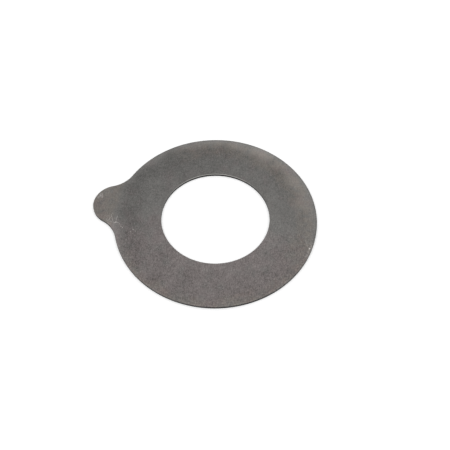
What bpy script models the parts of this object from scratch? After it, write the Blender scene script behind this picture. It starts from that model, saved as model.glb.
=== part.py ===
"""Thrust washer with one rounded tab, blanked in one stroke from flat sheet steel.

The washer lies flat with its upper face towards +Z and its tab towards -X. The tab drops into a notch
beside the shaft and stops the washer turning with it.
"""

from collections import namedtuple
from math import acos, atan2, ceil, cos, pi, radians, sin

import bmesh
import bpy

# Driving sizes, in metres
OUTSIDE_DIAMETER = 0.095
BORE_DIAMETER = 0.0508
SHEET_THICKNESS = 0.00125
TAB_PROJECTION = 0.01115  # how far the tab stands out past the rim
TAB_TIP_RADIUS = 0.0109
TAB_ROOT_FILLET = 0.01425

# Section of the sheared edges, in metres from the true outline and from each face
ROLL_OVER_WIDTH = 0.0002
ROLL_OVER_HEIGHT = 0.0001
TEAR_SETBACK = 0.00002  # how far the torn lower part of an edge stands back
BURR_CHAMFER = 0.00003  # the burr on the lower face, tumbled off
TORN_SHARE = 0.45  # part of the sheet's thickness that tore instead of shearing cleanly

# Fineness of the facets
CHORD_ERROR = 0.000005  # how far a facet may lie inside its true arc, in metres
ROLL_OVER_FACETS = 4
SMOOTH_ANGLE = radians(35)

# Dark, satin steel as it comes off the press
STEEL_COLOUR = (0.168, 0.159, 0.153, 1.0)
STEEL_METALLIC = 0.9
STEEL_ROUGHNESS = 0.45

CONVEX = 1
CONCAVE = -1

# One stretch of the outline: it runs from the angle start through sweep, counter-clockwise if positive
Arc = namedtuple("Arc", "centre_x centre_y radius start sweep bulge")


def clear_scene():
    for thing in list(bpy.data.objects):
        bpy.data.objects.remove(thing)


def angle_opposite(side, first, second):
    """The angle between the sides first and second of a triangle, opposite the given side."""
    return acos((first**2 + second**2 - side**2) / (2 * first * second))


def outline_arcs():
    """The outline about the bore's axis: the rim, a root fillet, the tab's tip and the other fillet.

    The arcs touch tangentially, because the bore's axis, the centre of the tab's tip and the centre of a
    fillet make a triangle whose sides are sums of their radii.
    """
    rim_radius = OUTSIDE_DIAMETER / 2
    tip_distance = rim_radius + TAB_PROJECTION - TAB_TIP_RADIUS
    fillet_distance = rim_radius + TAB_ROOT_FILLET
    tip_to_fillet = TAB_TIP_RADIUS + TAB_ROOT_FILLET
    at_axis = angle_opposite(tip_to_fillet, tip_distance, fillet_distance)
    at_tip = angle_opposite(fillet_distance, tip_distance, tip_to_fillet)
    at_fillet = pi - at_axis - at_tip

    fillet_x = -fillet_distance * cos(at_axis)
    fillet_y = fillet_distance * sin(at_axis)
    return [
        Arc(0, 0, rim_radius, at_axis - pi, 2 * (pi - at_axis), CONVEX),
        Arc(fillet_x, fillet_y, TAB_ROOT_FILLET, -at_axis, -at_fillet, CONCAVE),
        Arc(-tip_distance, 0, TAB_TIP_RADIUS, at_tip, 2 * (pi - at_tip), CONVEX),
        Arc(fillet_x, -fillet_y, TAB_ROOT_FILLET, at_axis + at_fillet, -at_fillet, CONCAVE),
    ]


def facet_count(arc):
    """An even number, so that a point stands in the middle of the rim and of the tab's tip."""
    facet_angle = 2 * acos(1 - CHORD_ERROR / arc.radius)
    return 2 * ceil(abs(arc.sweep) / facet_angle / 2)


def outline_points(setback=0.0):
    """Points of the outline, counter-clockwise, drawn in everywhere by setback."""
    points = []
    for arc in outline_arcs():
        radius = arc.radius - arc.bulge * setback
        steps = facet_count(arc)
        for step in range(steps):
            angle = arc.start + arc.sweep * step / steps
            points.append((arc.centre_x + radius * cos(angle), arc.centre_y + radius * sin(angle)))
    return points


def bore_points(setback=0.0):
    """Points of the bore, each on the line from the bore's axis to a point of the outline."""
    radius = BORE_DIAMETER / 2 + setback
    bearings = [atan2(y, x) for x, y in outline_points()]
    return [(radius * cos(bearing), radius * sin(bearing)) for bearing in bearings]


def sheared_section():
    """(setback, height) up a sheared edge: burr chamfer, torn zone, burnished band and rounded roll-over."""
    section = [
        (TEAR_SETBACK + BURR_CHAMFER, 0.0),
        (TEAR_SETBACK, BURR_CHAMFER),
        (0.0, TORN_SHARE * SHEET_THICKNESS),
    ]
    for step in range(ROLL_OVER_FACETS + 1):
        turn = pi / 2 * step / ROLL_OVER_FACETS
        setback = ROLL_OVER_WIDTH * (1 - cos(turn))
        height = SHEET_THICKNESS - ROLL_OVER_HEIGHT * (1 - sin(turn))
        section.append((setback, height))
    return section


def add_ring(shape, points, height):
    return [shape.verts.new((x, y, height)) for x, y in points]


def join_rings(shape, first, second):
    """A closed strip of quads between two rings of equally many points."""
    for index in range(len(first)):
        previous = index - 1
        shape.faces.new((first[previous], first[index], second[index], second[previous]))


def washer_mesh():
    """Rings up the outside edge and down the bore, joined in turn: edge, upper face, bore, lower face."""
    shape = bmesh.new()
    section = sheared_section()
    rings = [add_ring(shape, outline_points(setback), height) for setback, height in section]
    rings += [add_ring(shape, bore_points(setback), height) for setback, height in reversed(section)]
    for index in range(len(rings)):
        join_rings(shape, rings[index - 1], rings[index])
    bmesh.ops.recalc_face_normals(shape, faces=shape.faces)

    mesh = bpy.data.meshes.new("washer")
    shape.to_mesh(mesh)
    shape.free()
    mesh.shade_smooth()
    mesh.set_sharp_from_angle(angle=SMOOTH_ANGLE)
    return mesh


def steel():
    material = bpy.data.materials.new("steel")
    material.use_nodes = True
    surface = material.node_tree.nodes["Principled BSDF"]
    surface.inputs["Base Color"].default_value = STEEL_COLOUR
    surface.inputs["Metallic"].default_value = STEEL_METALLIC
    surface.inputs["Roughness"].default_value = STEEL_ROUGHNESS
    return material


def add_washer():
    """The mesh has its origin on the bore's axis, and is placed so that the whole outline is centred."""
    washer = bpy.data.objects.new("washer", washer_mesh())
    washer.data.materials.append(steel())
    washer.location.x = TAB_PROJECTION / 2
    bpy.context.scene.collection.objects.link(washer)


clear_scene()
add_washer()
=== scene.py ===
"""Finished look of a blanked sheet-steel thrust washer: its surface, the light on it and the camera."""

from math import acos, ceil, cos, pi, radians, sin
from types import SimpleNamespace

import bpy
import numpy as np
from mathutils import Matrix, Vector


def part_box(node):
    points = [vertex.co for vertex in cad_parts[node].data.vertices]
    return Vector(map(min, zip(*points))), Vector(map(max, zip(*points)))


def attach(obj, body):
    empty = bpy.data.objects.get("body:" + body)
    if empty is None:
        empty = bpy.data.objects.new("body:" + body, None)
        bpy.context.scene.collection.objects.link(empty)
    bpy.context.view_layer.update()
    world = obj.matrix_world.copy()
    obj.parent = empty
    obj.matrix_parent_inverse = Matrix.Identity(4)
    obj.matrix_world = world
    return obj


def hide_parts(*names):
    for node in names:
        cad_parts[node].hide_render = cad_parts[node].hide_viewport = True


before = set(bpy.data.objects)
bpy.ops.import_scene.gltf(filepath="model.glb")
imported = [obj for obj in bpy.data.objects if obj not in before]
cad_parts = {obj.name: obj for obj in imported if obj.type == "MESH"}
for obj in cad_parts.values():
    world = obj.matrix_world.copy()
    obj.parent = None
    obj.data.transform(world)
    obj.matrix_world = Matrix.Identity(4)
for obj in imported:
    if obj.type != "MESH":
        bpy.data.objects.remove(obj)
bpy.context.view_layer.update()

# The solid's size, in metres, read from the frame
LOW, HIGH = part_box("washer")
THICKNESS = HIGH.z - LOW.z
RIM_RADIUS = (HIGH.y - LOW.y) / 2
BORE_X = HIGH.x - RIM_RADIUS  # where the bore's axis stands
TAB_PROJECTION = HIGH.x - LOW.x - 2 * RIM_RADIUS

# Sizes that the box doesn't hold, in metres, as the solid has them
BORE_RADIUS = 0.0254
TIP_RADIUS = 0.0109
ROOT_FILLET = 0.01425
ROLL_OVER_WIDTH = 0.0002
ROLL_OVER_HEIGHT = 0.0001
TEAR_SETBACK = 0.00002
BURR_CHAMFER = 0.00003
TORN_SHARE = 0.45

# Unevenness that blanking leaves, in metres
ROLL_OVER_WIDTH_WANDER = 0.00003
ROLL_OVER_HEIGHT_WANDER = 0.000015
TEAR_LINE_WANDER = 0.00007
TEAR_ROUGHNESS = 0.000012
STRIATION = 0.000002
EDGE_DROOP = 0.00003
DROOP_REACH = 0.0035
SADDLE_WARP = 0.00005

# How many waves the wandering lines have round an edge, at the most
TEAR_LINE_WAVES = 60
ROLL_OVER_WIDTH_WAVES = 14
ROLL_OVER_HEIGHT_WAVES = 9

# First seeds of the two edges' random draws
RIM_SEED = 10
BORE_SEED = 30

# How dark and torn the burr looks, and how soon the sheared skin ends on the roll-over
BURR_SKIN = 0.6
SKIN_THINNING = 0.9
HIGHLIGHT_THINNING = 1.6  # added under the bore's painted highlight

# Fineness of the mesh
CHORD_ERROR = 0.0000006
BURR_RINGS = 2
TORN_RINGS = 8
BURNISHED_RINGS = 5
ROLL_OVER_RINGS = 8
UPPER_FACE_RINGS = 26
LOWER_FACE_RINGS = 10
SMOOTH_ANGLE = radians(40)

# The bore's edge carries a painted highlight towards this azimuth, in degrees, and the cosines of the angles
# from there say where the highlight starts and where it is full
BORE_HIGHLIGHT_AZIMUTH = 104
BORE_HIGHLIGHT_COSINES = (0.3125, 0.9375)

# Layout of the surface on its map: two plans side by side, cornerwise, in the unit square
MAP_SCALE = 1 / 0.172
UPPER_PLAN_PLACE = (0.297, 0.297)
LOWER_PLAN_PLACE = (0.712, 0.712)
UPPER_PLAN_TURN = radians(-225)
LOWER_PLAN_TURN = radians(-45)

# Dark, satin steel as it comes off the press; the two sheared-edge colours are partly the edges' own duller
# steel and partly painted shade
STEEL = (0.165, 0.156, 0.150)
SHEARED_STEEL = (0.060, 0.057, 0.055)
TORN_STEEL = (0.016, 0.015, 0.014)

# The photograph's view
PICTURE_SIDE = 450  # pixels
SENSOR_WIDTH = 36.0
FOCAL_LENGTH = 58.52
CAMERA_DISTANCE = 7.22 * RIM_RADIUS
CAMERA_AZIMUTH = radians(8.94)
CAMERA_ELEVATION = radians(55.78)
CAMERA_ROLL = radians(0.19)
RING_CENTRE_PIXEL = (215.46, 217.07)  # where the photograph shows the centre of the ring's upper face

# Light: the floor and the world are white where they are seen, and light the object at a plain level
FLOOR_SIDE = 6.0
FLOOR_COLOUR = (0.8, 0.8, 0.8, 1.0)
FLOOR_GLOW = 0.37
WORLD_LIGHT = 0.8
LAMPS = [  # (name, place and side in metres, power in watts)
    ("key", (-0.5, -0.6, 1.5), 1.0, 3.0),
    ("fill", (0.9, 0.5, 1.1), 0.8, 1.2),
]

CONVEX = 1
CONCAVE = -1


def angle_opposite(side, first, second):
    """The angle between the sides first and second of a triangle, opposite the given side."""
    return acos((first**2 + second**2 - side**2) / (2 * first * second))


def outline_arcs():
    """(centre, radius, start, sweep, bulge) of the rim, a root fillet, the tab's tip and the other fillet."""
    tip_distance = RIM_RADIUS + TAB_PROJECTION - TIP_RADIUS
    fillet_distance = RIM_RADIUS + ROOT_FILLET
    tip_to_fillet = TIP_RADIUS + ROOT_FILLET
    at_axis = angle_opposite(tip_to_fillet, tip_distance, fillet_distance)
    at_tip = angle_opposite(fillet_distance, tip_distance, tip_to_fillet)
    at_fillet = pi - at_axis - at_tip
    fillet_x = -fillet_distance * cos(at_axis)
    fillet_y = fillet_distance * sin(at_axis)
    return [
        ((0, 0), RIM_RADIUS, at_axis - pi, 2 * (pi - at_axis), CONVEX),
        ((fillet_x, fillet_y), ROOT_FILLET, -at_axis, -at_fillet, CONCAVE),
        ((-tip_distance, 0), TIP_RADIUS, at_tip, 2 * (pi - at_tip), CONVEX),
        ((fillet_x, -fillet_y), ROOT_FILLET, at_axis + at_fillet, -at_fillet, CONCAVE),
    ]


def outline():
    """Points of the true outline about the bore's axis, and the outward direction at each."""
    points, outward = [], []
    for centre, radius, start, sweep, bulge in outline_arcs():
        facet_angle = 2 * acos(1 - CHORD_ERROR / radius)
        steps = 2 * ceil(abs(sweep) / facet_angle / 2)
        angles = start + sweep * np.arange(steps) / steps
        spokes = np.column_stack((np.cos(angles), np.sin(angles)))
        points.append(np.array(centre) + radius * spokes)
        outward.append(bulge * spokes)
    return np.concatenate(points), np.concatenate(outward)


def wander(count, waves, seed):
    """A smooth random curve round a closed line, with a standard deviation of 1."""
    draw = np.random.RandomState(seed)
    turn = 2 * pi * np.arange(count) / count
    curve = np.zeros(count)
    for wave in range(1, waves + 1):
        curve += draw.normal() * np.cos(wave * turn + draw.uniform(0, 2 * pi))
    return curve / curve.std()


def rough_strip(rings, count, seed):
    """Random unevenness over a closed strip, a little smoothed along it, with a standard deviation of 1."""
    field = np.random.RandomState(seed).normal(size=(rings, count))
    field += np.roll(field, 1, axis=1) + np.roll(field, -1, axis=1)
    return field / field.std()


def sheared_section(count, seed, brightened):
    """Setbacks and heights of the rings up a sheared edge, with how sheared and how torn each ring is.

    The sheared surface's dark skin thins out over the roll-over, faster under the bore's painted highlight.
    """
    tear_line = TORN_SHARE * THICKNESS + TEAR_LINE_WANDER * wander(count, TEAR_LINE_WAVES, seed)
    roll_width = ROLL_OVER_WIDTH + ROLL_OVER_WIDTH_WANDER * wander(count, ROLL_OVER_WIDTH_WAVES, seed + 1)
    roll_height = ROLL_OVER_HEIGHT + ROLL_OVER_HEIGHT_WANDER * wander(count, ROLL_OVER_HEIGHT_WAVES, seed + 2)
    grain = rough_strip(TORN_RINGS, count, seed + 3)
    striation = STRIATION * np.abs(rough_strip(1, count, seed + 4)[0])
    band_top = THICKNESS - roll_height
    rings = []

    def add(*values):
        rings.append([np.broadcast_to(value, count) for value in values])

    for share in np.arange(BURR_RINGS) / BURR_RINGS:
        add(TEAR_SETBACK + BURR_CHAMFER * (1 - share), BURR_CHAMFER * share, BURR_SKIN, BURR_SKIN)
    for ring, share in enumerate(np.arange(TORN_RINGS) / TORN_RINGS):
        roughness = TEAR_ROUGHNESS * np.abs(grain[ring]) * min(1, 3 * share)  # grows from none at the burr
        add(TEAR_SETBACK * (1 - share) + roughness, BURR_CHAMFER + share * (tear_line - BURR_CHAMFER), 1, 1)
    for share in np.arange(BURNISHED_RINGS) / BURNISHED_RINGS:
        add(striation, tear_line + share * (band_top - tear_line), 1, 0)
    for turn in np.linspace(0, pi / 2, ROLL_OVER_RINGS + 1):
        setback = roll_width * (1 - cos(turn)) + striation * cos(turn)
        skin = np.clip(1 - (SKIN_THINNING + HIGHLIGHT_THINNING * brightened) * sin(turn), 0, 1)
        add(setback, THICKNESS - roll_height * (1 - sin(turn)), skin, 0)
    return rings


def developed(section):
    """How far each ring of a section lies from its last ring, measured along the section."""
    setbacks = np.array([ring[0].mean() for ring in section])
    heights = np.array([ring[1].mean() for ring in section])
    steps = np.hypot(np.diff(setbacks), np.diff(heights))
    return np.append(steps[::-1].cumsum()[::-1], 0)


def across(outer, inner, rings):
    """Rings of a face between two closed lines, leaving both out, closer together near each of them."""
    shares = (1 - np.cos(pi * np.arange(1, rings + 1) / (rings + 1))) / 2
    return [outer + share * (inner - outer) for share in shares]


def droop(distance):
    """How far the upper face sinks at a distance from a sheared edge."""
    return EDGE_DROOP * np.clip(1 - distance / DROOP_REACH, 0, 1) ** 2


def washer_rings():
    """The closed rings of the surface in turn: up the rim, across the upper face, down the bore, back below.

    Each ring is its plan about the bore's axis, its heights, its sheared and torn shares, and its plan on the
    map, where the two sheared edges lie spread out around the upper face.
    """
    rim, rim_out = outline()
    count = len(rim)
    bore_out = -rim / np.linalg.norm(rim, axis=1)[:, None]
    bore = -BORE_RADIUS * bore_out
    towards_highlight = -bore_out @ compass(BORE_HIGHLIGHT_AZIMUTH)[:2]
    bore_highlight = np.interp(towards_highlight, BORE_HIGHLIGHT_COSINES, (0, 1))
    rim_section = sheared_section(count, RIM_SEED, 0)
    bore_section = sheared_section(count, BORE_SEED, bore_highlight)
    rings = []

    def add_section(line, out, section, order):
        spread = developed(section)
        top = line - section[-1][0][:, None] * out
        for level in order:
            setback, height, sheared, torn = section[level]
            plan = line - setback[:, None] * out
            rings.append((plan, height, sheared, torn, top + spread[level] * out))

    def add_face(outer, inner, ring_count, height):
        for plan in across(outer, inner, ring_count):
            rings.append((plan, np.full(count, height), np.zeros(count), np.zeros(count), plan))

    levels = range(len(rim_section))
    add_section(rim, rim_out, rim_section, levels)
    bore_top = bore - bore_section[-1][0][:, None] * bore_out
    add_face(rings[-1][0], bore_top, UPPER_FACE_RINGS, THICKNESS)
    add_section(bore, bore_out, bore_section, reversed(levels))
    add_face(rings[-1][0], rings[0][0], LOWER_FACE_RINGS, 0.0)
    return rings, rim, bore


def settled(plan, height, rim, bore):
    """Heights with the droop beside the sheared edges and the slight warp of the whole sheet."""
    from_edges = [np.linalg.norm(plan - line, axis=2) for line in (rim, bore)]
    sunk = sum(droop(distance) for distance in from_edges) * (height > THICKNESS / 2)
    saddle = (plan[..., 0] ** 2 - plan[..., 1] ** 2) / RIM_RADIUS**2
    return height - sunk + SADDLE_WARP * (1 + np.clip(saddle, -1, 1)) / 2


def turned(plan, angle):
    return plan @ np.array([[cos(angle), sin(angle)], [-sin(angle), cos(angle)]])


def map_layout(rings):
    """Every ring's places on the map, as part of the upper plan and as part of the lower face's plan."""
    upper = np.array([ring[4] for ring in rings])
    lower = np.array([ring[0] for ring in rings])
    upper = turned(upper, UPPER_PLAN_TURN) * MAP_SCALE + UPPER_PLAN_PLACE
    lower = turned(lower * (-1, 1), LOWER_PLAN_TURN) * MAP_SCALE + LOWER_PLAN_PLACE
    return upper, lower


def add_washer():
    rings, rim, bore = washer_rings()
    count = len(rim)
    plan = np.array([ring[0] for ring in rings])
    height = settled(plan, np.array([ring[1] for ring in rings]), rim, bore)
    vertices = np.dstack((plan[..., 0] + BORE_X, plan[..., 1], height + LOW.z))

    index = np.arange(len(rings) * count).reshape(len(rings), count)
    above = np.roll(index, -1, axis=0)
    quads = np.stack((index, np.roll(index, -1, axis=1), np.roll(above, -1, axis=1), above), axis=-1)
    mesh = bpy.data.meshes.new("washer_sheet")
    mesh.from_pydata(vertices.reshape(-1, 3).tolist(), [], quads.reshape(-1, 4).tolist())

    upper, lower = map_layout(rings)
    below = np.zeros(quads.shape[:2], bool)
    below[-LOWER_FACE_RINGS - 1:] = True
    corners = np.where(below[..., None, None], lower.reshape(-1, 2)[quads], upper.reshape(-1, 2)[quads])
    layer = mesh.uv_layers.new(name="OFBake")
    layer.uv.foreach_set("vector", corners.reshape(-1).astype(np.float32))

    for name, part in (("sheared", 2), ("torn", 3)):
        values = np.concatenate([ring[part] for ring in rings]).astype(np.float32)
        mesh.attributes.new(name, "FLOAT", "POINT").data.foreach_set("value", values)
    mesh.shade_smooth()
    mesh.set_sharp_from_angle(angle=SMOOTH_ANGLE)
    mesh.materials.append(steel())
    piece = bpy.data.objects.new("washer_sheet", mesh)
    bpy.context.scene.collection.objects.link(piece)
    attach(piece, "root")
    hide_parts("washer")


class Graph:
    """Short forms for the nodes of one material or world."""

    def __init__(self, owner):
        owner.use_nodes = True
        self.tree = owner.node_tree
        self.nodes = self.tree.nodes

    def put(self, socket, value):
        if isinstance(value, bpy.types.NodeSocket):
            self.tree.links.new(value, socket)
        else:
            socket.default_value = value

    def math(self, operation, first, second=0.0, third=0.0):
        node = self.nodes.new("ShaderNodeMath")
        node.operation = operation
        for socket, value in zip(node.inputs, (first, second, third)):
            self.put(socket, value)
        return node.outputs[0]

    def total(self, first, *others):
        for other in others:
            first = self.math("ADD", first, other)
        return first

    def product(self, first, *others):
        for other in others:
            first = self.math("MULTIPLY", first, other)
        return first

    def vector(self, operation, first, second=(0.0, 0.0, 0.0)):
        node = self.nodes.new("ShaderNodeVectorMath")
        node.operation = operation
        self.put(node.inputs[0], first)
        self.put(node.inputs[1], second)
        return node.outputs["Value" if operation in ("LENGTH", "DOT_PRODUCT") else "Vector"]

    def scaled(self, vector, factor):
        node = self.nodes.new("ShaderNodeVectorMath")
        node.operation = "SCALE"
        self.put(node.inputs[0], vector)
        self.put(node.inputs["Scale"], factor)
        return node.outputs["Vector"]

    def step(self, value, start, end):
        """Goes smoothly from 0 at start to 1 at end."""
        node = self.nodes.new("ShaderNodeMapRange")
        node.interpolation_type = "SMOOTHSTEP"
        for socket, given in zip(node.inputs, (value, start, end, 0.0, 1.0)):
            self.put(socket, given)
        return node.outputs[0]

    def noise(self, place, size, detail=2.0, roughness=0.5):
        """Noise on either side of 0, whose coarsest features have about this size."""
        node = self.nodes.new("ShaderNodeTexNoise")
        node.normalize = False
        self.put(node.inputs["Vector"], place)
        node.inputs["Scale"].default_value = 1 / size
        node.inputs["Detail"].default_value = detail
        node.inputs["Roughness"].default_value = roughness
        return node.outputs["Fac"]

    def noise_vector(self, place, size):
        """Three noises at once, between 0 and 1."""
        node = self.nodes.new("ShaderNodeTexNoise")
        self.put(node.inputs["Vector"], place)
        node.inputs["Scale"].default_value = 1 / size
        return node.outputs["Color"]

    def mix(self, share, first, second):
        node = self.nodes.new("ShaderNodeMix")
        node.data_type = "RGBA"
        self.put(node.inputs[0], share)
        for socket, colour in ((node.inputs[6], first), (node.inputs[7], second)):
            self.put(socket, (*colour, 1.0) if isinstance(colour, tuple) else colour)
        return node.outputs[2]

    def attribute(self, name):
        node = self.nodes.new("ShaderNodeAttribute")
        node.attribute_name = name
        return node.outputs["Fac"]


def compass(azimuth, length=1.0):
    """A level vector that points to an azimuth in degrees, counter-clockwise from +X, away from the tab."""
    return (length * cos(radians(azimuth)), length * sin(radians(azimuth)), 0.0)


# From here to the floor, places and sizes are millimetres about the bore's axis, with the tab towards -X
MM = 1000.0  # millimetres in a metre
RIM = MM * RIM_RADIUS
BORE = MM * BORE_RADIUS

# Light strokes: scuffs and scratches from handling, and a painted glint on a nick
SCUFF_AND_GLINT_STROKES = [  # (start, end, width, strength)
    # beside the tab's root, a scribble of crossing scuffs
    ((-45.5, -6.6), (-45.6, -9.2), 0.14, 1.00),
    ((-45.4, -7.4), (-45.9, -8.8), 0.10, 0.55),
    ((-46.2, -11.0), (-45.2, -10.1), 0.17, 1.25),
    ((-45.5, -10.1), (-43.9, -10.4), 0.17, 1.20),
    ((-44.1, -10.3), (-43.3, -10.9), 0.13, 0.80),
    ((-48.6, -4.9), (-47.9, -5.7), 0.11, 0.75),
    ((-48.5, -6.3), (-47.5, -8.7), 0.12, 0.85),
    ((-47.7, -8.2), (-47.0, -9.5), 0.12, 0.85),
    ((-50.7, -8.0), (-50.0, -6.9), 0.10, 0.55),
    ((-49.9, -6.9), (-48.9, -7.8), 0.10, 0.45),
    ((-50.2, -9.7), (-49.3, -10.1), 0.16, 0.75),
    ((-48.6, -7.8), (-48.9, -9.3), 0.13, 1.05),
    ((-48.7, -8.9), (-49.5, -10.2), 0.13, 0.85),
    ((-49.4, -10.8), (-48.3, -11.6), 0.15, 1.05),
    ((-48.6, -9.4), (-47.0, -10.9), 0.10, 0.60),
    ((-47.5, -8.9), (-46.2, -10.8), 0.11, 0.60),
    ((-49.0, -10.5), (-47.4, -10.2), 0.09, 0.45),
    # a broken line from there towards the bore
    ((-42.8, -11.9), (-40.8, -13.3), 0.14, 1.00),
    ((-42.0, -12.2), (-41.2, -12.9), 0.10, 0.60),
    ((-40.0, -13.9), (-39.3, -14.2), 0.14, 0.60),
    ((-38.3, -15.0), (-37.2, -15.5), 0.15, 0.65),
    ((-37.6, -14.1), (-37.5, -14.3), 0.20, 0.65),
    ((-36.6, -12.8), (-36.3, -13.3), 0.36, 0.75),
    ((-35.2, -13.5), (-35.2, -13.9), 0.19, 0.90),
    ((-37.9, -10.0), (-37.9, -10.4), 0.15, 0.55),
    ((-36.7, -9.5), (-36.7, -9.9), 0.15, 0.55),
    # the tab's shoulder, lighter
    ((-56.8, 2.5), (-56.4, 4.4), 1.10, 0.45),
    ((-55.4, 3.0), (-55.9, 4.2), 0.90, 0.40),
    # a nick beside the rim with a painted glint on it, and the rim lighter on either side of it
    ((44.9, -10.2), (45.5, -10.3), 0.32, 1.30),
    ((45.2, -10.4), (45.0, -11.2), 0.24, 1.30),
    ((45.5, -7.4), (45.8, -9.3), 0.70, 0.28),
    ((45.9, -8.3), (45.9, -9.5), 0.18, 0.60),
    ((43.4, -6.9), (43.8, -9.2), 0.60, 0.20),
    ((44.8, -12.4), (44.1, -15.2), 0.75, 0.30),
    ((44.5, -13.0), (44.2, -14.2), 0.16, 0.50),
]

# Broad, faint clouds of painted sheen and shade
PATCHES = [  # (azimuth, radius, reach, strength)
    (2, 31.5, 4.0, -0.05),
    (15, 32.0, 9.0, -0.05),
    (19, 41.0, 6.0, 0.12),
    (30, 44.0, 4.0, -0.12),
    (50, 41.0, 7.0, -0.15),
    (60, 42.7, 4.0, -0.18),
    (62, 46.5, 3.0, 0.10),
    (69, 46.5, 8.0, 0.19),
    (76, 42.5, 5.0, 0.13),
    (86, 44.2, 4.0, 0.09),
    (114, 46.8, 4.0, -0.14),
    (135, 46.3, 3.0, 0.10),
    (138, 43.0, 8.0, 0.10),
    (138, 31.5, 4.0, -0.05),
    (152, 37.5, 9.0, 0.14),
    (168, 35.5, 7.0, 0.07),
    (173, 53.9, 4.5, 0.15),
    (194, 27.0, 4.0, -0.06),
    (195, 37.0, 5.0, -0.07),
    (195, 44.5, 4.5, 0.08),
    (225, 37.0, 5.0, -0.06),
    (225, 43.5, 6.0, -0.12),
    (230, 29.0, 7.0, -0.11),
    (240, 43.0, 6.0, -0.13),
    (256, 42.5, 6.0, -0.09),
    (257, 33.5, 6.0, -0.13),
    (286, 46.0, 5.0, 0.07),
    (297, 45.5, 4.5, -0.06),
    (300, 27.5, 4.0, -0.07),
    (300, 36.0, 9.0, -0.05),
    (314, 38.0, 5.0, -0.09),
    (316, 33.0, 5.0, 0.09),
    (345, 32.5, 5.0, -0.07),
]

# A sector is the azimuth that it faces, and the cosines of the angles from there where it starts and where
# it is full. A ring is the radius where it starts and the radius where it is full.
ALL_ROUND = None
ALL_ACROSS = None
# The upper face's broad light and dark, painted sheen and shade
TONE_ZONES = [  # (sector, ring, share to add to the lightness)
    ((105, -0.3, 0.7), ALL_ACROSS, -0.11),  # darker at the far left
    ((118, 0.72, 1.0), ALL_ACROSS, -0.09),
    (ALL_ROUND, (35.5, 27.0), 0.05),  # lighter beside the bore, most of all at the near right
    ((300, -0.3, 0.6), (35.5, 27.0), 0.05),
    ((232, 0.2, 0.8), (43.0, 47.0), 0.04),  # lighter along the near rim
]
TAN_ZONES = [  # (sector, ring, share of the tan hue)
    ((48, 0.0, 0.6), (33.0, 40.0), 0.75),
    ((272, 0.3, 0.7), (41.0, 46.0), 0.65),
]
MAUVE_SECTOR = (270, -0.1, 0.6)

# Lines along the two edges: painted highlights on the far bore's edge and the near rim's roll-over, a faint
# worn line round the bore, painted shade along the far rim, and a light band on the far left rim
FAR_RIM_SECTOR = (66, 0.15, 0.35)
BORE_EDGE = BORE + 0.12
EDGE_LINES = [  # (sector, radius, reach to either side, share to add to the lightness)
    ((BORE_HIGHLIGHT_AZIMUTH, 0.5, 1.0), BORE_EDGE, 0.34, 1.4),
    (ALL_ROUND, BORE_EDGE, 0.34, 0.03),
    ((280, 0.3, 0.9), RIM - 0.45, 0.45, 0.12),
    (FAR_RIM_SECTOR, RIM, 0.9, -0.30),
]
FAR_LEFT_RIM = ((122, 0.4, 0.9), (43.5, 46.5), 0.12)
RIM_FADE = ((44.3, 46.8), 0.9)  # the ring, and the share, in which the far rim's tan fades out

# Painted shade: a dark band along the middle of the ring on the left
LEFT_BAND_SECTOR = (178, 0.55, 0.9)
LEFT_BAND_RADIUS = 40.5
LEFT_BAND_REACH = 7.5
LEFT_BAND_TONE = -0.15

# Painted reflection: a light, tan crescent along the far rim, the ring's part outside a circle whose centre
# lies off the bore's axis
CRESCENT_SECTOR = (75, -0.1, 1.0)
CRESCENT_CENTRE = (225, 5.0)  # azimuth and radius
CRESCENT_RING = (43.6, 50.0)
CRESCENT_TONE = 0.43
CRESCENT_TAN = 0.25

# The tab, from its root outwards, and the light root fillet on its near side
TAB_SPAN = (45.5, 50.0)
TAB_TONE = 0.02
FILLET_RING = (20.5, 14.0)
FILLET_SPAN = (53.0, 48.0)
FILLET_TONE = 0.25

# Drift of the broad rings, so that none of them is true
DRIFT_SIZE = 16.0
RING_DRIFT = 5.0
CRESCENT_DRIFT = 2.5

# Hues, to multiply the steel's colour by
GREENISH = (0.980, 1.010, 1.008)
MAUVE = (1.036, 0.980, 0.996)
TAN = (1.052, 1.0, 0.955)
PLAIN = (1.0, 1.0, 1.0)
TAN_OVER_MAUVE = 0.6  # how much of the mauve the tan hides
MAUVE_CLOUD_SIZE = 6.0
MAUVE_CLOUDS = 0.7
TAN_MOTTLE = 1.2
SCUFF_AND_GLINT_PLAIN = 1.5  # how soon the scuffs and the nick's painted glint take the hue away

# The steel's texture, from coarse to fine
LAYERS = {  # name: (size, octaves, falloff from one octave to the next)
    "cloud": (11.0, 2.0, 0.60),
    "mottle": (2.6, 2.0, 0.60),
    "grain": (0.72, 4.0, 0.71),
    "drawn": (0.32, 3.0, 0.75),
    "fine": (0.17, 3.0, 0.80),
}
BROAD_LAYERS = ("cloud", "mottle")
DRAWN_OUT = {"grain": (1.0, 0.74, 1.0), "drawn": (1.0, 0.09, 1.0)}  # along Y, the way the sheet was rolled

# Octaves and falloff of the single noises
SPECK_NOISE = (2.0, 0.6)
STREAK_NOISE = (3.0, 0.6)
BREAK_NOISE = (3.0, 0.7)
MAUVE_NOISE = (2.0, 0.6)

# What share each layer has in the lightness, in the roughness and in the relief
BROAD_TONE_SHARES = {"cloud": 0.045, "mottle": 0.12}
GRAIN_TONE_SHARES = {"grain": 0.28, "drawn": 0.16, "fine": 0.22}
ROUGHNESS_SHARES = {"mottle": 0.06, "grain": 0.10, "fine": 0.10}
RELIEF_SHARES = {"grain": 0.4, "drawn": 0.2, "fine": 0.4}

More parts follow.
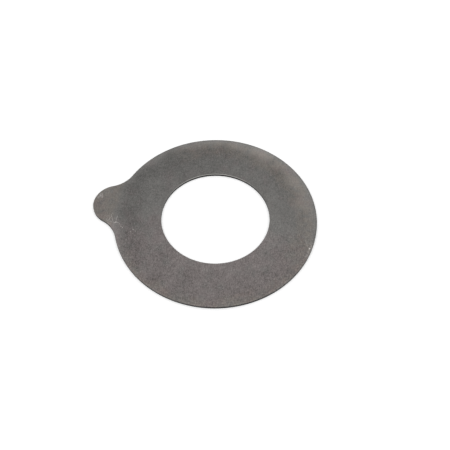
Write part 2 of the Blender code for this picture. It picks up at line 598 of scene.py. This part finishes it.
# Specks: where a noise is low they are dark pits, and where it is high they are bright glints
SPECK_SIZE = 0.34
PIT_LEVELS = (-0.42, -0.55)
GLINT_LEVELS = (0.36, 0.52)
PIT_TONE = -0.12
GLINT_TONE = 0.28
GRAIN_SKEW = 0.10  # lightens the strongest grain, light and dark
SKEW_MEAN = 0.008  # what that adds on average, taken off again

# The strokes waver and break up, and are soft outside this share of their width
STROKE_CORE = 0.2
WAVER_SIZE = 1.8
WAVER_REACH = 0.4
BREAK_SIZE = 0.5
BREAK_DEPTH = 1.8
BREAK_FLOOR = 0.15

# Painted sheen: the speckle is faint on the far side and clear on the near side, as the light reflects off
# the grain on the two sides
NEAR_SECTOR = (279, -0.1, 0.45)
FAR_CONTRAST = 0.76
NEAR_CONTRAST = 1.18

# The upper face's marks begin above the first of these heights, and are full at the second
FACE_HEIGHTS = (0.3, 0.9)
FACE_OFFSET = (0.0, 0.0, 60.0)  # parts the two faces' broad noises
LOWER_CLOUD_SIZE = 18.0
LOWER_CLOUD_TONE = 0.12

# The sheared edges: streaks down them, grain, and painted shade in two sectors, towards the near rim and the
# far bore
STREAK_SIZE = 0.25
STREAK_STRETCH = (1.0, 1.0, 0.12)
STREAK_TONE = 0.5
WALL_GRAIN_TONE = 0.3
NEAR_WALL_SHADE_SECTOR = (307, 0.5, 0.95)
FAR_WALL_SHADE_SECTOR = (BORE_HIGHLIGHT_AZIMUTH, 0.6, 1.0)
WALL_SHADE_TONE = -0.6

METALLIC = 0.96
ROUGHNESS = 0.47
TORN_ROUGHNESS = 0.25
PIT_ROUGHNESS = 0.12
SCUFF_AND_GLINT_ROUGHNESS = -0.06
TAN_ROUGHNESS = -0.04

BUMP_STRENGTH = 0.35
BUMP_DEPTH = 0.00004  # metres
PIT_RELIEF = -0.8
SCUFF_AND_GLINT_RELIEF = -0.3
STREAK_RELIEF = 0.8


def surface_places(g):
    """Where a point of the surface lies, in the forms that the rest of the material uses."""
    place = g.nodes.new("ShaderNodeTexCoord").outputs["Object"]
    plan = g.scaled(g.vector("SUBTRACT", place, (BORE_X, 0.0, 0.0)), MM)
    level = g.vector("MULTIPLY", plan, (1.0, 1.0, 0.0))
    radius = g.vector("LENGTH", level)
    drift = g.noise(level, DRIFT_SIZE)
    upper = g.step(g.vector("DOT_PRODUCT", plan, (0.0, 0.0, 1.0)), *FACE_HEIGHTS)
    beneath = g.math("SUBTRACT", 1.0, upper)
    return SimpleNamespace(
        plan=plan,
        level=level,
        direction=g.vector("NORMALIZE", level),
        radius=radius,
        drift=drift,
        drifted_radius=g.math("ADD", radius, g.product(drift, RING_DRIFT)),
        upper=upper,
        beneath=beneath,
        broad=g.vector("ADD", plan, g.scaled(FACE_OFFSET, beneath)),
    )


def in_sector(g, at, sector):
    """1 in a sector, 0 away from it, and 1 all round where there is none."""
    if sector is ALL_ROUND:
        return 1.0
    azimuth, start, full = sector
    return g.step(g.vector("DOT_PRODUCT", at.direction, compass(azimuth)), start, full)


def in_ring(g, radius, ring):
    """1 in a ring, 0 beyond where it starts, and 1 everywhere where there is none."""
    return 1.0 if ring is ALL_ACROSS else g.step(radius, *ring)


def near_radius(g, radius, middle, reach):
    """1 at a radius, falling to 0 at the reach either side of it."""
    return g.step(g.math("ABSOLUTE", g.math("SUBTRACT", radius, middle)), reach, 0.0)


def zones(g, at, rows):
    """The shares of a table of sectors and rings, added up."""
    return g.total(*[
        g.product(in_ring(g, at.drifted_radius, ring), in_sector(g, at, sector), share)
        for sector, ring, share in rows
    ])


def patches(g, level):
    """The clouds' painted sheen and shade, as a share to add to the lightness."""
    shares = []
    for azimuth, radius, reach, strength in PATCHES:
        distance = g.vector("LENGTH", g.vector("SUBTRACT", level, compass(azimuth, radius)))
        shares.append(g.product(g.step(distance, reach, 0.0), strength))
    return g.total(*shares)


def upper_tones(g, at):
    """Broad light and dark of the upper face, mostly painted sheen and shade, as a share to add to 1, and how
    tan and how mauve it is.
    """
    left_band = near_radius(g, at.drifted_radius, LEFT_BAND_RADIUS, LEFT_BAND_REACH)
    left_band = g.product(left_band, in_sector(g, at, LEFT_BAND_SECTOR))
    from_centre = g.vector("LENGTH", g.vector("SUBTRACT", at.level, compass(*CRESCENT_CENTRE)))
    crescent = g.step(g.math("ADD", from_centre, g.product(at.drift, CRESCENT_DRIFT)), *CRESCENT_RING)
    crescent = g.product(crescent, in_sector(g, at, CRESCENT_SECTOR))
    westward = g.vector("DOT_PRODUCT", at.level, (-1.0, 0.0, 0.0))
    tab = g.step(westward, *TAB_SPAN)
    near_fillet = outline_arcs()[3]
    fillet_x, fillet_y = near_fillet[0]
    from_fillet = g.vector("LENGTH", g.vector("SUBTRACT", at.level, (MM * fillet_x, MM * fillet_y, 0.0)))
    fillet = g.product(g.step(from_fillet, *FILLET_RING), g.step(westward, *FILLET_SPAN))
    tone = g.total(
        zones(g, at, TONE_ZONES),
        patches(g, at.level),
        g.product(left_band, LEFT_BAND_TONE),
        g.product(crescent, CRESCENT_TONE),
        g.product(tab, TAB_TONE),
        g.product(fillet, FILLET_TONE),
    )

    fade_ring, fade_share = RIM_FADE
    rim_fade = g.product(g.step(at.radius, *fade_ring), in_sector(g, at, FAR_RIM_SECTOR), fade_share)
    tan = g.math("MINIMUM", g.total(zones(g, at, TAN_ZONES), g.product(crescent, CRESCENT_TAN), tab), 1.0)
    tan = g.product(tan, g.math("SUBTRACT", 1.0, rim_fade))
    not_tan = g.math("SUBTRACT", 1.0, g.product(tan, TAN_OVER_MAUVE))
    mauve = g.product(in_sector(g, at, MAUVE_SECTOR), not_tan)
    return tone, tan, mauve


def edge_tones(g, at):
    """The lines along the edges, mostly painted highlights and shade, as a share to add to 1."""
    lines = [
        g.product(near_radius(g, at.radius, middle, reach), in_sector(g, at, sector), share)
        for sector, middle, reach, share in EDGE_LINES
    ]
    sector, ring, share = FAR_LEFT_RIM
    lines.append(g.product(g.step(at.radius, *ring), in_sector(g, at, sector), share))
    return g.total(*lines)


def stroke(g, place, start, end, width, strength):
    """A soft-edged stroke of the surface between two places."""
    along = Vector((end[0] - start[0], end[1] - start[1], 0.0))
    from_start = g.vector("SUBTRACT", place, (start[0], start[1], 0.0))
    share = g.vector("DOT_PRODUCT", from_start, tuple(along / along.length_squared))
    share = g.math("MINIMUM", g.math("MAXIMUM", share, 0.0), 1.0)
    distance = g.vector("LENGTH", g.vector("SUBTRACT", from_start, g.scaled(tuple(along), share)))
    return g.product(g.step(distance, width, STROKE_CORE * width), strength)


def strokes(g, at):
    """All the light strokes, wavering and broken as rubbing leaves them; the nick's is a painted glint."""
    waver = g.vector("SUBTRACT", g.noise_vector(at.plan, WAVER_SIZE), (0.5, 0.5, 0.5))
    wavered = g.vector("ADD", at.plan, g.scaled(waver, WAVER_REACH))
    wavered = g.vector("MULTIPLY", wavered, (1.0, 1.0, 0.0))
    found = g.total(*[stroke(g, wavered, *shape) for shape in SCUFF_AND_GLINT_STROKES])
    breaks = g.math("ADD", 1.0, g.product(g.noise(at.plan, BREAK_SIZE, *BREAK_NOISE), BREAK_DEPTH))
    return g.product(found, g.math("MAXIMUM", breaks, BREAK_FLOOR), at.upper)


def face_hue(g, at, tan, mauve, mottle, brightened):
    """The face's hue: greenish to mauve, tan in places, and plain on the scuffs and the nick's painted glint.
    """
    mauve_clouds = g.product(g.noise(at.broad, MAUVE_CLOUD_SIZE, *MAUVE_NOISE), MAUVE_CLOUDS)
    mauve_share = g.math("ADD", mauve, mauve_clouds)
    tan_share = g.product(tan, g.math("ADD", 1.0, g.product(mottle, TAN_MOTTLE)))
    hue = g.vector("MULTIPLY", g.mix(mauve_share, GREENISH, MAUVE), g.mix(tan_share, PLAIN, TAN))
    return g.mix(g.math("MINIMUM", g.product(brightened, SCUFF_AND_GLINT_PLAIN), 1.0), hue, PLAIN)


def wall_colour(g, at, torn, grain, streaks):
    """The sheared edges, partly painted shade: a burnished band over a darker, torn one, with streaks down
    both and more painted shade in two sectors.
    """
    wall_shade = g.math("MAXIMUM", in_sector(g, at, NEAR_WALL_SHADE_SECTOR), in_sector(g, at, FAR_WALL_SHADE_SECTOR))
    tone = g.total(
        1.0, g.product(streaks, STREAK_TONE), g.product(grain, WALL_GRAIN_TONE), g.product(wall_shade, WALL_SHADE_TONE))
    return g.scaled(g.mix(torn, SHEARED_STEEL, TORN_STEEL), tone)


def steel():
    """Rolled steel: a satin, finely speckled face with handling marks, painted sheen, highlights and shade,
    and dark sheared edges, partly painted shade.
    """
    material = bpy.data.materials.new("pressed_steel")
    g = Graph(material)
    surface = g.nodes["Principled BSDF"].inputs
    at = surface_places(g)
    sheared = g.attribute("sheared")
    torn = g.attribute("torn")

    texture = {}
    for name, (size, octaves, falloff) in LAYERS.items():
        place = at.broad if name in BROAD_LAYERS else at.plan
        if name in DRAWN_OUT:
            place = g.vector("MULTIPLY", place, DRAWN_OUT[name])
        texture[name] = g.noise(place, size, octaves, falloff)

    def blend(shares):
        return g.total(*[g.product(texture[name], share) for name, share in shares.items()])

    grain = texture["grain"]
    specks = g.noise(at.plan, SPECK_SIZE, *SPECK_NOISE)
    pits = g.step(specks, *PIT_LEVELS)
    glints = g.step(specks, *GLINT_LEVELS)
    streaks = g.noise(g.vector("MULTIPLY", at.plan, STREAK_STRETCH), STREAK_SIZE, *STREAK_NOISE)
    brightened = strokes(g, at)
    # broad is the upper face's painted sheen and shade; the edge lines added to it are mostly painted
    # highlights and shade
    broad, tan, mauve = upper_tones(g, at)
    tan = g.product(tan, at.upper)
    mauve = g.product(mauve, at.upper)

    above = g.product(g.math("ADD", broad, edge_tones(g, at)), at.upper)
    below = g.product(g.noise(at.broad, LOWER_CLOUD_SIZE), LOWER_CLOUD_TONE, at.beneath)
    speckle = g.total(
        blend(GRAIN_TONE_SHARES),
        g.product(grain, grain, GRAIN_SKEW),
        -SKEW_MEAN,
        g.product(pits, PIT_TONE),
        g.product(glints, GLINT_TONE),
    )
    near = in_sector(g, at, NEAR_SECTOR)
    contrast = g.math("ADD", FAR_CONTRAST, g.product(near, NEAR_CONTRAST - FAR_CONTRAST))
    tone = g.total(1.0, above, below, brightened, blend(BROAD_TONE_SHARES), g.product(speckle, contrast))
    hue = face_hue(g, at, tan, mauve, texture["mottle"], brightened)
    face = g.scaled(g.vector("MULTIPLY", hue, STEEL), tone)
    g.put(surface["Base Color"], g.mix(sheared, face, wall_colour(g, at, torn, grain, streaks)))

    surface["Metallic"].default_value = METALLIC
    roughness = g.total(
        ROUGHNESS,
        blend(ROUGHNESS_SHARES),
        g.product(torn, TORN_ROUGHNESS),
        g.product(pits, PIT_ROUGHNESS),
        g.product(brightened, SCUFF_AND_GLINT_ROUGHNESS),
        g.product(tan, TAN_ROUGHNESS),
    )
    g.put(surface["Roughness"], roughness)

    bump = g.nodes.new("ShaderNodeBump")
    bump.inputs["Strength"].default_value = BUMP_STRENGTH
    bump.inputs["Distance"].default_value = BUMP_DEPTH
    relief = g.total(
        blend(RELIEF_SHARES),
        g.product(pits, PIT_RELIEF),
        g.product(brightened, SCUFF_AND_GLINT_RELIEF),
        g.product(streaks, sheared, STREAK_RELIEF),
    )
    g.put(bump.inputs["Height"], relief)
    g.put(surface["Normal"], bump.outputs["Normal"])
    return material


def seen_directly(g):
    """1 for what the camera sees, also by reflection or through glass, and 0 for what lights other things."""
    path = g.nodes.new("ShaderNodeLightPath")
    rays = [path.outputs[name] for name in ("Is Camera Ray", "Is Glossy Ray", "Is Transmission Ray")]
    return g.math("MINIMUM", g.total(*rays), 1.0)


def add_floor():
    """A plain white floor that keeps the shadow. Where the light reaches it, it is seen as plain white."""
    bpy.ops.mesh.primitive_plane_add(size=FLOOR_SIDE, location=(0, 0, LOW.z))
    floor = bpy.context.object
    floor.name = "floor"
    material = bpy.data.materials.new("floor_white")
    g = Graph(material)
    surface = g.nodes["Principled BSDF"].inputs
    surface["Base Color"].default_value = FLOOR_COLOUR
    surface["Roughness"].default_value = 1.0
    surface["Specular IOR Level"].default_value = 0.0
    surface["Emission Color"].default_value = (1.0, 1.0, 1.0, 1.0)
    g.put(surface["Emission Strength"], g.product(seen_directly(g), FLOOR_GLOW))
    floor.data.materials.append(material)


def light_world():
    """White all round where it is seen, and a little dimmer as a light, to leave room for the lamps."""
    world = bpy.data.worlds.new("studio")
    bpy.context.scene.world = world
    g = Graph(world)
    background = g.nodes["Background"].inputs
    background["Color"].default_value = (1.0, 1.0, 1.0, 1.0)
    g.put(background["Strength"], g.math("MULTIPLY_ADD", seen_directly(g), 1 - WORLD_LIGHT, WORLD_LIGHT))


def add_lamp(name, place, side, power):
    """A soft square lamp that shines at the object's middle."""
    data = bpy.data.lights.new(name, "AREA")
    data.size = side
    data.energy = power
    lamp = bpy.data.objects.new(name, data)
    lamp.location = place
    lamp.rotation_euler = (-Vector(place)).to_track_quat("-Z", "Y").to_euler()
    bpy.context.scene.collection.objects.link(lamp)


def add_camera():
    """Looks the way the photograph does, with the ring's upper face centred on its pixel there."""
    forward = Vector((
        -sin(CAMERA_AZIMUTH) * cos(CAMERA_ELEVATION),
        cos(CAMERA_AZIMUTH) * cos(CAMERA_ELEVATION),
        -sin(CAMERA_ELEVATION),
    ))
    level = Vector((cos(CAMERA_AZIMUTH), sin(CAMERA_AZIMUTH), 0))
    upright = level.cross(forward)
    right = level * cos(CAMERA_ROLL) + upright * sin(CAMERA_ROLL)
    up = upright * cos(CAMERA_ROLL) - level * sin(CAMERA_ROLL)
    pixel_span = CAMERA_DISTANCE * SENSOR_WIDTH / FOCAL_LENGTH / PICTURE_SIDE  # metres, at the ring's centre
    across_by = (RING_CENTRE_PIXEL[0] - PICTURE_SIDE / 2) * pixel_span
    down_by = (RING_CENTRE_PIXEL[1] - PICTURE_SIDE / 2) * pixel_span
    ring_centre = Vector((BORE_X, 0, HIGH.z))

    data = bpy.data.cameras.new("camera")
    data.sensor_width = SENSOR_WIDTH
    data.lens = FOCAL_LENGTH
    data.clip_start = 0.01
    camera = bpy.data.objects.new("camera", data)
    pose = Matrix((right, up, -forward)).transposed().to_4x4()
    pose.translation = ring_centre - right * across_by + up * down_by - forward * CAMERA_DISTANCE
    camera.matrix_world = pose
    bpy.context.scene.collection.objects.link(camera)
    bpy.context.scene.camera = camera


bpy.context.scene.view_settings.view_transform = "Standard"
add_washer()
add_floor()
light_world()
for lamp_row in LAMPS:
    add_lamp(*lamp_row)
add_camera()
